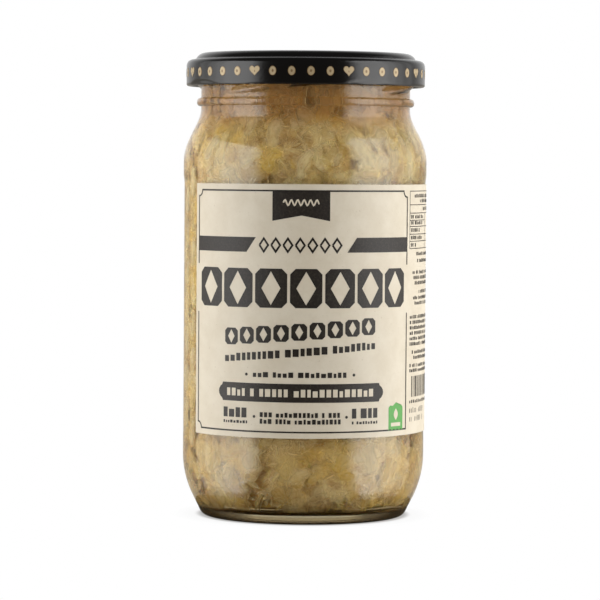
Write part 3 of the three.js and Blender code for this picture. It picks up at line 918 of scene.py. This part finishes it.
# The print on the label is dark brown ink: a thin frame with notched corners, a ribbon, bars, a frieze of
# tiles, rows of small strokes, a cartouche, and on the side panel a ruled table with a row of stripes.
INK_LIFT = 0.012
INK_THICK = 0.008
FRAME_LEFT, FRAME_RIGHT = -34.9, 33.3
FRAME_LOW, FRAME_HIGH = 26.0, 91.8
FRAME_NOTCH = 1.7
FRAME_LINE = 0.45
GAP_LOW, GAP_HIGH = 58.2, 71.5
LABEL_MIDDLE = -0.9
RIBBON_LEFT, RIBBON_RIGHT = -8.95, 6.9
RIBBON_LOW, RIBBON_NOTCH = 83.6, 85.1
BAR_LOW, BAR_HIGH = 75.05, 79.1
CARTOUCHE_LEFT, CARTOUCHE_RIGHT = -24.1, 22.2
CARTOUCHE_Z = 36.68
CARTOUCHE_END = ((0.0, 2.55), (0.25, 1.85), (0.9, 1.4), (1.35, 0.7), (1.5, 0))
FINE = (0.4, 0.85, 0.3)

ink_shape = bmesh.new()
pale_shape = bmesh.new()
label_dice = random.Random(5)


def box(shape, left, right, low, high):
    flat(shape, [(left, low), (right, low), (right, high), (left, high)])


def stroke(shape, points, width):
    """A line of even width along a row of points."""
    points = [Vector(point) for point in points]
    sides = []
    for number, point in enumerate(points):
        before = (point - points[number - 1]).normalized() if number else None
        after = (points[number + 1] - point).normalized() if number + 1 < len(points) else None
        way = ((before or after) + (after or before)).normalized()
        reach = width / 2 / max(way.dot(before or after), 0.5)
        aside = Vector((-way.y, way.x)) * reach
        sides.append((shape.verts.new((*(point + aside), 0)), shape.verts.new((*(point - aside), 0))))
    for (a, b), (c, d) in zip(sides, sides[1:]):
        shape.faces.new((a, b, d, c))


def quarter(x, y, first_turn):
    """Points of the quarter circle that notches a corner, with turns counted in quarters."""
    turns = [(first_turn + step / 5) * math.pi / 2 for step in range(6)]
    return [(x + FRAME_NOTCH * math.cos(turn), y + FRAME_NOTCH * math.sin(turn)) for turn in turns]


def strokes(shape, left, right, low, height, narrow=0.7, wide=1.5, gap=0.45, climb=0.0):
    """A row of small upright strokes of uneven width, with wider gaps now and then."""
    x = left
    while x < right - narrow:
        width = min(label_dice.uniform(narrow, wide), right - x)
        y = low + climb * (x - left)
        box(shape, x, x + width, y, y + height * label_dice.choice((1, 1, 0.8)))
        x += width + gap * (3 if label_dice.random() < 0.14 else 1)


def tile(shape, left, right, low, high, notch, hole):
    """A tile with notched corners and a diamond opening, as two halves."""
    middle_x, middle_y = (left + right) / 2, (low + high) / 2
    for side in (-1, 1):
        edge = left if side < 0 else right
        flat(shape, [
            (middle_x, high), (edge - side * notch, high), (edge, high - notch),
            (edge, low + notch), (edge - side * notch, low), (middle_x, low),
            (middle_x, middle_y - hole * 1.7), (middle_x + side * hole, middle_y),
            (middle_x, middle_y + hole * 1.7),
        ])


top_frame = (
    [(FRAME_LEFT, GAP_HIGH)] + quarter(FRAME_LEFT, FRAME_HIGH, -1)
    + quarter(FRAME_RIGHT, FRAME_HIGH, 2) + [(FRAME_RIGHT, GAP_HIGH)]
)
low_frame = (
    [(FRAME_LEFT, GAP_LOW)] + quarter(FRAME_LEFT, FRAME_LOW, 0)[::-1]
    + [(FRAME_RIGHT, FRAME_LOW), (FRAME_RIGHT, GAP_LOW)]
)
stroke(ink_shape, top_frame, FRAME_LINE)
stroke(ink_shape, low_frame, FRAME_LINE)
flat(ink_shape, [
    (RIBBON_LEFT, FRAME_HIGH), (RIBBON_LEFT, RIBBON_LOW), (LABEL_MIDDLE, RIBBON_NOTCH),
    (RIBBON_RIGHT, RIBBON_LOW), (RIBBON_RIGHT, FRAME_HIGH),
])
flat(ink_shape, [(FRAME_LEFT, BAR_LOW), (-16.5, BAR_LOW), (-13.7, BAR_HIGH), (FRAME_LEFT, BAR_HIGH)])
flat(ink_shape, [(FRAME_RIGHT, BAR_LOW), (FRAME_RIGHT, BAR_HIGH), (14.7, BAR_HIGH), (11.9, BAR_LOW)])
wave = [(LABEL_MIDDLE - 5 + 0.25 * step, 88.6 + 0.75 * math.sin(step * 0.9)) for step in range(40)]
stroke(pale_shape, wave, 0.42)

for number in range(7):
    x = -12.6 + number * 3.38
    stroke(ink_shape, [(x, 77), (x + 1.25, 78.8), (x + 2.5, 77), (x + 1.25, 75.2), (x, 77)], 0.55)
tile_edges = (-33.9, -24.3, -14.2, -4.3, 5.3, 14.6, 23.6, 32.3)
for left, right in zip(tile_edges, tile_edges[1:]):
    tile(ink_shape, left + 0.4, right - 0.4, 59.9, 70.6, 1.5, 2.7)
for number in range(9):
    x = -23.4 + number * 4.98
    low = 49.6 + number * 0.36
    tile(ink_shape, x, x + 4.3, low, low + 4.6, 0.8, 1.1)
strokes(ink_shape, -23.4, 21.6, 44.9, 2.1, 0.9, 1.7, 0.5, 0.085)
strokes(ink_shape, -14.3, 12.4, 40.9, 1.45)
for x in (-16.3, 14.1):
    disc(ink_shape, x, 41.6, 0.42, 0.42, 12)
end_curve = [*CARTOUCHE_END, *((reach, -rise) for reach, rise in reversed(CARTOUCHE_END[:-1]))]
flat(ink_shape, (
    [(CARTOUCHE_RIGHT + reach, CARTOUCHE_Z + rise) for reach, rise in end_curve]
    + [(CARTOUCHE_LEFT - reach, CARTOUCHE_Z + rise) for reach, rise in reversed(end_curve)]
))
strokes(pale_shape, -22.6, 20.9, 35.6, 2.1, 0.8, 1.5, 0.55)
for left, right in ((-23.8, -15.6), (13.6, 21.7)):
    strokes(ink_shape, left, right, 29.7, 2.7, 1.2, 1.9, 0.45)
    strokes(ink_shape, left, right, 28.1, 0.8, 0.4, 0.8, 0.3)
for low in (30.0, 28.2):
    strokes(ink_shape, -12.2, 10.3, low, 1.35, 0.6, 1.1, 0.38)
for x in (-13.9, 12.0):
    disc(ink_shape, x, 30.1, 0.4, 0.4, 12)

PANEL_LEFT, PANEL_RIGHT = 34.8, 66.0
RULES = (91.9, 88.1, 85.8, 82.1, 79.95, 78.0, 76.0)
for high in RULES:
    box(ink_shape, PANEL_LEFT, PANEL_RIGHT, high - 0.22, high)
box(ink_shape, PANEL_LEFT, 46.5, 83.6, 83.8)
for x, high in ((PANEL_LEFT, 91.9), (46.8, 85.8), (PANEL_RIGHT, 91.9)):
    box(ink_shape, x - 0.11, x + 0.11, 75.8, high)
for left, low in ((37.5, 90.0), (41.5, 88.6), (44.5, 86.4)):
    strokes(ink_shape, left, PANEL_RIGHT - left + PANEL_LEFT, low, 1.0, *FINE)
for low, right in ((84.2, 45), (82.5, 44), (80.5, 41.5), (78.4, 44.5), (76.4, 39)):
    strokes(ink_shape, PANEL_LEFT + 0.7, right, low, 1.0, *FINE)
    strokes(ink_shape, 55, 61, low, 1.0, *FINE)
ROWS = (
    (39, 73.9), (39.5, 72.0), (36.6, 68.8), (37.2, 67.3), (38, 65.8), (41, 63.4), (37, 61.7), (38, 60.2),
    (35.2, 56.4), (35.2, 54.9), (35.2, 53.4), (35.2, 51.9), (35.2, 50.4), (35.2, 48.9),
    (36.5, 46.6), (37.5, 45.1), (35.2, 42.9), (35.2, 41.5),
)
for left, low in ROWS:
    right = PANEL_RIGHT + 0.5 * (PANEL_LEFT - left) - 3
    strokes(ink_shape, left, right, low, 0.95, *FINE)
x = PANEL_LEFT + 1.6
while x < PANEL_LEFT + 21:
    width = label_dice.choice((0.25, 0.25, 0.5, 0.75))
    box(ink_shape, x, x + width, 34.6, 40.4)
    x += width + label_dice.choice((0.3, 0.3, 0.55))
strokes(ink_shape, PANEL_LEFT + 0.5, PANEL_LEFT + 22, 32.9, 0.9, 0.45, 0.8, 0.5)
for low in (30.2, 27.8):
    strokes(ink_shape, PANEL_LEFT + 0.6, PANEL_LEFT + 12, low, 1.5, 0.2, 0.35, 0.7)

BACK_LEFT, BACK_RIGHT = 78.0, 122.0
BACK_LOW, BACK_HIGH = FRAME_LOW + 3, FRAME_HIGH - 3
SPRIG_X, SPRIG_Z = 100, 72.5
stroke(ink_shape, (
    quarter(BACK_LEFT, BACK_LOW, 0)[::-1] + quarter(BACK_LEFT, BACK_HIGH, -1)
    + quarter(BACK_RIGHT, BACK_HIGH, 2) + quarter(BACK_RIGHT, BACK_LOW, 1)
    + [(BACK_LEFT + FRAME_NOTCH, BACK_LOW)]
), FRAME_LINE)
for row in range(12):
    right = BACK_RIGHT - 5 - 4 * (row % 3)
    strokes(ink_shape, BACK_LEFT + 5, right, 66 - row * 2.6, 1.4, 0.6, 1.2, 0.4)
for leaf in range(5):
    spread = math.radians(-60 + 30 * leaf)
    tip = (SPRIG_X + 9.5 * math.sin(spread), SPRIG_Z + 10.5 * math.cos(spread))
    for aside in (spread - 0.25, spread + 0.25):
        bow = (SPRIG_X + 7.5 * math.sin(aside), SPRIG_Z + 5.5 * math.cos(aside))
        stroke(ink_shape, [(SPRIG_X, SPRIG_Z), bow, tip], 0.5)

dark_ink = Finish("dark_ink", {"IOR": 1.45, "Specular IOR Level": 0.42})
ink_wear = dark_ink.grain(dark_ink.place(), 1800, 3.0, 0.65)
ink_colour = dark_ink.blend(ink_wear.between(0.4, 0.75), (0.014, 0.010, 0.007, 1), (0.034, 0.026, 0.019, 1))
dark_ink.shade(base_color=ink_colour, roughness=0.42 + ink_wear * 0.12)
dark_ink.bump(ink_wear, 0.012 * MM)
ink_r = LABEL_OUT_R + INK_LIFT
piece("label_dark_print", wrapped(ink_shape, ink_r, INK_THICK), dark_ink, "label_paper", "label")
piece("label_pale_marks", wrapped(pale_shape, ink_r + INK_LIFT, INK_THICK), paper, "label_paper", "label")

# A small badge is printed in green ink in the lower right corner of the front. Its top is pointed, and a
# leaf stands over a short bar in it, both in the colour of the paper.
badge_shape = bmesh.new()
leaf_shape = bmesh.new()
flat(badge_shape, [
    (25.8, 25.9), (31.75, 25.9), (31.75, 32.2), (31.2, 32.8), (30.1, 32.7), (28.8, 33.6),
    (27.5, 32.7), (26.4, 32.8), (25.8, 32.2),
])
box(leaf_shape, 26.8, 30.7, 27.0, 28.0)
leaf_half = [(math.sin(math.pi * step / 8) * 0.85, 28.7 + step * 0.4) for step in range(9)]
flat(leaf_shape, [(28.75 + x, y) for x, y in leaf_half] + [(28.75 - x, y) for x, y in leaf_half[-2:0:-1]])
green_ink = Finish("green_ink", {"IOR": 1.45})
green_grain = green_ink.grain(green_ink.place(), 1500, 3.0, 0.6)
green_ink.shade(
    base_color=green_ink.blend(green_grain, (0.075, 0.30, 0.055, 1), (0.12, 0.40, 0.09, 1)),
    roughness=0.42 + green_grain * 0.12,
)
piece("label_green_badge", wrapped(badge_shape, ink_r, INK_THICK), green_ink, "label_paper", "label")
piece("label_badge_leaf", wrapped(leaf_shape, ink_r + INK_LIFT, INK_THICK), paper, "label_paper", "label")

# The studio: a small floor under the jar that fades into white, two tall soft boxes at the jar's sides that
# fade at their ends, and a surround that is white to the camera, bright behind the jar and dim before it.
FLOOR_R = 0.0385
BOX_AWAY = 1.3
BOX_SOFT_EDGE = 3.3
LAYERS = ((122, 0.78), (106, 0.78), (95, 0.84), (84, 0.96))
LEFT_ROWS = ((-0.4, 0.88, 42), (-0.7, -0.4, 52), (-1.05, -0.7, 62), (-1.7, -1.05, 72))
RIGHT_ROWS = ((-0.4, 1.35, 42), (-0.7, -0.4, 48), (-1.05, -0.7, 56), (-1.7, -1.05, 66))

floor_shape = bmesh.new()
bmesh.ops.create_circle(floor_shape, cap_ends=True, segments=96, radius=FLOOR_R)
floor_data = bpy.data.meshes.new("floor")
floor_shape.to_mesh(floor_data)
floor_shape.free()
# To everything but the camera the floor is dark brown: a painted shade that stands for the shaded table round
# the jar, seen in the glass.
floor_finish = Finish("floor", {
    "Base Color": (0.2, 0.17, 0.12, 1), "Roughness": 0.5, "Specular IOR Level": 0.0,
})
seen = floor_finish.node("ShaderNodeLightPath", {}, {}, "Is Camera Ray")
glow = floor_finish.node("ShaderNodeEmission", {}, {"Color": (1, 1, 1, 1), "Strength": 1.0})
away = floor_finish.node("ShaderNodeVectorMath", {"operation": "LENGTH"}, {0: floor_finish.place()}, "Value")
# To the camera the floor glows white, with a painted contact shadow in a thin ring at the jar's edge.
glow_share_past_painted_shadow = away.between(0.0285, 0.031) * 0.5 + away.between(0.03, 0.038) * 0.05 + 0.45
pale_floor_with_painted_shadow = floor_finish.layered(glow_share_past_painted_shadow, floor_finish.shader, glow)
floor_finish.surface(floor_finish.layered(seen, floor_finish.shader, pale_floor_with_painted_shadow))
floor_data.materials.append(floor_finish.material)
floor = put("floor", floor_data)


def soft_box(name, side, rows):
    """Rows of panels, each laid in layers that end sooner and sooner, so that the box fades at its ends."""
    for low, high, inner in rows:
        middle_z = (low + high) / 2
        for layer, (outer, glow) in enumerate(LAYERS):
            first = inner + BOX_SOFT_EDGE * layer
            light = bpy.data.lights.new(name, "AREA")
            light.shape = "RECTANGLE"
            light.size = 2 * BOX_AWAY * math.tan(math.radians(max(outer - first, 2)) / 2)
            light.size_y = high - low
            light.energy = glow * math.pi * light.size * light.size_y
            place = around(math.radians(side * (first + outer) / 2), BOX_AWAY - 0.01 * layer, middle_z)
            put(name, light).matrix_world = looking(place, Vector((0, 0, middle_z)))


soft_box("left_soft_box", -1, LEFT_ROWS)
soft_box("right_soft_box", 1, RIGHT_ROWS)

world = bpy.data.worlds.new("surround")
bpy.context.scene.world = world
surround = Tree(world, "ShaderNodeOutputWorld")
facing = surround.node("ShaderNodeTexCoord", {}, {}, "Generated")
above = surround.node("ShaderNodeBackground", {}, {
    "Color": (1, 1, 1, 1), "Strength": facing.part("Y").between(0.25, 0.9, 0.1, 0.92),
})
table = surround.node("ShaderNodeBackground", {}, {
    "Color": (1.0, 0.93, 0.82, 1), "Strength": facing.part("Y").between(-0.8, -0.1, 0.08, 0.5),
})
white = surround.node("ShaderNodeBackground", {}, {"Color": (1, 1, 1, 1), "Strength": 1.0})
room = surround.layered(facing.part("Z").between(-0.02, 0.05), table, above)
camera_ray = surround.node("ShaderNodeLightPath", {}, {}, "Is Camera Ray")
surround.surface(surround.layered(camera_ray, room, white))

bpy.context.scene.view_settings.view_transform = "Standard"
bpy.context.scene.cycles.max_bounces = 24
bpy.context.scene.cycles.transmission_bounces = 20
bpy.context.scene.cycles.transparent_max_bounces = 24
bpy.context.scene.cycles.sample_clamp_indirect = 8
